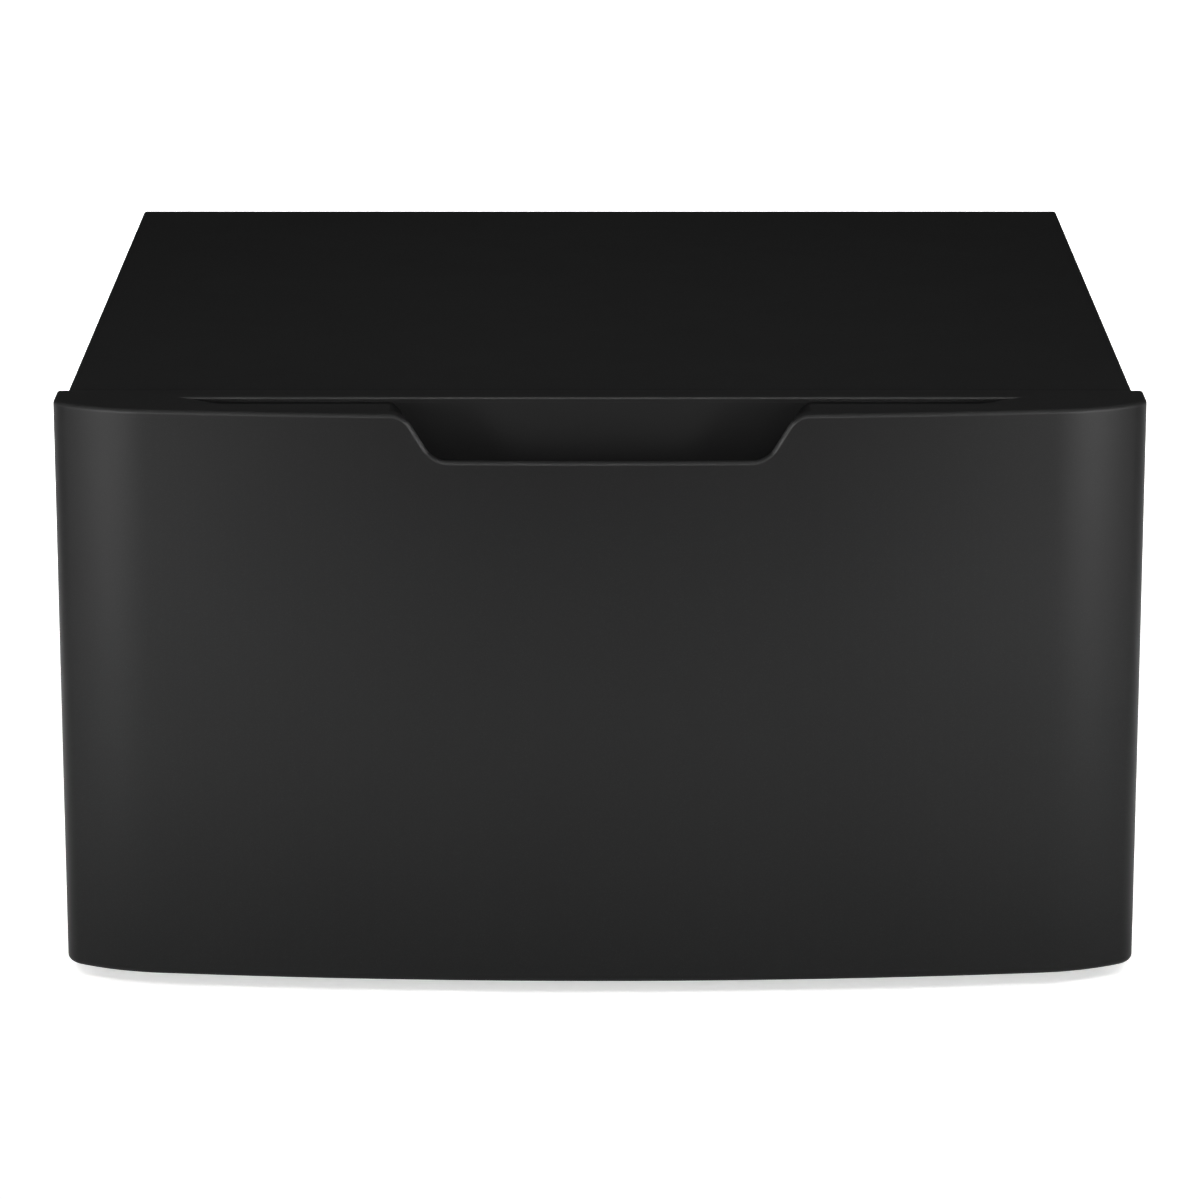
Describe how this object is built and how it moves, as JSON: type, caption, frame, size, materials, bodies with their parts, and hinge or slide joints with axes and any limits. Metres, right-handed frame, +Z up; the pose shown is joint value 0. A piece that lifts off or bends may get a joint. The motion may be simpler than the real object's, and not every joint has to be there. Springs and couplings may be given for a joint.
{
  "type": "laundry pedestal",
  "caption": "Charcoal storage pedestal for a laundry machine: flat deck, bowed drawer front with a finger notch, drawer on telescopic slides, levelling feet.",
  "frame": {"origin": "on the floor, at the middle of the footprint, with the drawer closed", "axes": "+X along the width to the right seen from the front, +Y from the drawer front to the back, +Z up"},
  "size_m": [0.6858, 0.6719, 0.3937],
  "materials": {
    "charcoal_paint": "satin metallic charcoal",
    "charcoal_moulding": "satin metallic charcoal",
    "grey_paint": "semi-gloss grey",
    "zinc_steel": "zinc plated",
    "fastener_steel": "zinc plated",
    "ball_steel": "polished",
    "cage_plastic": "natural",
    "black_plastic": "moulded",
    "rubber": "matte"
  },
  "bodies": {
    "cabinet": {"deck_panel": "charcoal_paint", "side_panel_left": "charcoal_paint", "side_panel_right": "charcoal_paint", "rear_panel": "charcoal_paint", "front_top_rail": "charcoal_paint", "base_rail_front": "charcoal_paint", "base_rail_rear": "charcoal_paint", "deck_brace_left": "zinc_steel", "deck_brace_right": "zinc_steel", "slide_support_left": "zinc_steel", "slide_support_right": "zinc_steel", "corner_bracket_front_left": "zinc_steel", "corner_bracket_front_right": "zinc_steel", "corner_bracket_rear_left": "zinc_steel", "corner_bracket_rear_right": "zinc_steel", "foot_weld_nuts": "fastener_steel", "foot_lock_nuts": "fastener_steel", "slide_outer_left": "zinc_steel", "slide_outer_right": "zinc_steel", "outer_slide_screws_left": "fastener_steel", "outer_slide_screws_right": "fastener_steel", "rear_panel_screws": "fastener_steel", "deck_screws": "fastener_steel", "drawer_bumpers": "rubber"},
    "drawer": {"drawer_front": "charcoal_moulding", "handle_pocket": "charcoal_moulding", "backing_panel": "grey_paint", "backing_screws": "fastener_steel", "drawer_box_screws": "fastener_steel", "drawer_side_left": "grey_paint", "drawer_side_right": "grey_paint", "drawer_floor": "grey_paint", "drawer_back": "grey_paint", "slide_inner_left": "zinc_steel", "slide_inner_right": "zinc_steel", "inner_slide_screws_left": "fastener_steel", "inner_slide_screws_right": "fastener_steel", "lever_pin_left": "fastener_steel", "lever_pin_right": "fastener_steel"},
    "middle_slide_left": {"slide_middle_left": "zinc_steel"},
    "outer_cage_left": {"outer_ball_cage_left": "cage_plastic", "outer_balls_left": "ball_steel"},
    "inner_cage_left": {"inner_ball_cage_left": "cage_plastic", "inner_balls_left": "ball_steel"},
    "lever_left": {"release_lever_left": "black_plastic"},
    "foot_front_left": {"foot_front_left": "fastener_steel", "foot_pad_front_left": "rubber"},
    "foot_rear_left": {"foot_rear_left": "fastener_steel", "foot_pad_rear_left": "rubber"},
    "middle_slide_right": {"slide_middle_right": "zinc_steel"},
    "outer_cage_right": {"outer_ball_cage_right": "cage_plastic", "outer_balls_right": "ball_steel"},
    "inner_cage_right": {"inner_ball_cage_right": "cage_plastic", "inner_balls_right": "ball_steel"},
    "lever_right": {"release_lever_right": "black_plastic"},
    "foot_front_right": {"foot_front_right": "fastener_steel", "foot_pad_front_right": "rubber"},
    "foot_rear_right": {"foot_rear_right": "fastener_steel", "foot_pad_rear_right": "rubber"}
  },
  "joints": [
    {"name": "drawer_travel", "type": "slide", "parent": "cabinet", "child": "drawer", "axis": [0, -1, 0], "range_m": [0, 0.5]},
    {"name": "middle_slide_travel_left", "type": "slide", "parent": "cabinet", "child": "middle_slide_left", "axis": [0, -1, 0], "range_m": [0, 0.25]},
    {"name": "outer_cage_travel_left", "type": "slide", "parent": "cabinet", "child": "outer_cage_left", "axis": [0, -1, 0], "range_m": [0, 0.125]},
    {"name": "inner_cage_travel_left", "type": "slide", "parent": "middle_slide_left", "child": "inner_cage_left", "axis": [0, -1, 0], "range_m": [0, 0.125]},
    {"name": "lever_tilt_left", "type": "hinge", "parent": "drawer", "child": "lever_left", "pos_m": [-0.31, 0.148, 0.132], "axis": [1, 0, 0], "range_deg": [-6, 6], "stiffness_Nm_per_rad": 0.01},
    {"name": "foot_screw_front_left", "type": "slide", "parent": "cabinet", "child": "foot_front_left", "axis": [0, 0, -1], "range_m": [0, 0.018]},
    {"name": "foot_screw_rear_left", "type": "slide", "parent": "cabinet", "child": "foot_rear_left", "axis": [0, 0, -1], "range_m": [0, 0.018]},
    {"name": "middle_slide_travel_right", "type": "slide", "parent": "cabinet", "child": "middle_slide_right", "axis": [0, -1, 0], "range_m": [0, 0.25]},
    {"name": "outer_cage_travel_right", "type": "slide", "parent": "cabinet", "child": "outer_cage_right", "axis": [0, -1, 0], "range_m": [0, 0.125]},
    {"name": "inner_cage_travel_right", "type": "slide", "parent": "middle_slide_right", "child": "inner_cage_right", "axis": [0, -1, 0], "range_m": [0, 0.125]},
    {"name": "lever_tilt_right", "type": "hinge", "parent": "drawer", "child": "lever_right", "pos_m": [0.31, 0.148, 0.132], "axis": [1, 0, 0], "range_deg": [-6, 6], "stiffness_Nm_per_rad": 0.01},
    {"name": "foot_screw_front_right", "type": "slide", "parent": "cabinet", "child": "foot_front_right", "axis": [0, 0, -1], "range_m": [0, 0.018]},
    {"name": "foot_screw_rear_right", "type": "slide", "parent": "cabinet", "child": "foot_rear_right", "axis": [0, 0, -1], "range_m": [0, 0.018]}
  ],
  "couplings": [
    {"joint": "middle_slide_travel_left", "follows": "drawer_travel", "ratio": 0.5},
    {"joint": "outer_cage_travel_left", "follows": "drawer_travel", "ratio": 0.25},
    {"joint": "inner_cage_travel_left", "follows": "drawer_travel", "ratio": 0.25},
    {"joint": "middle_slide_travel_right", "follows": "drawer_travel", "ratio": 0.5},
    {"joint": "outer_cage_travel_right", "follows": "drawer_travel", "ratio": 0.25},
    {"joint": "inner_cage_travel_right", "follows": "drawer_travel", "ratio": 0.25}
  ]
}
